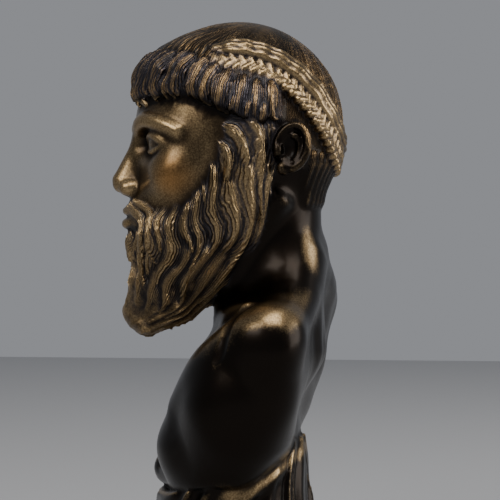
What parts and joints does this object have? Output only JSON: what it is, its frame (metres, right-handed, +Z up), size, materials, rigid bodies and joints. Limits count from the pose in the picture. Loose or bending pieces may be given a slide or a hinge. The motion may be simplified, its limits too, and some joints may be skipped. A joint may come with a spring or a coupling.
{
  "type": "zeus bust",
  "caption": "Cast bronze bust of a bearded classical god with plaited hair, the arms cut off at the shoulders, on a draped oval support cut flat below.",
  "frame": {"origin": "middle of the flat underside that the bust stands on", "axes": "+Z up, the bust faces -Y, +X is the figure's own left side; the head is turned 13 degrees towards +X"},
  "size_m": [0.0788, 0.0642, 0.1634],
  "materials": {
    "bronze": "dark brown patina, semi-gloss, rubbed to brass on the raised hair, beard and shoulder"
  },
  "bodies": {
    "root": {"zeus_bust": "bronze"}
  },
  "joints": []
}
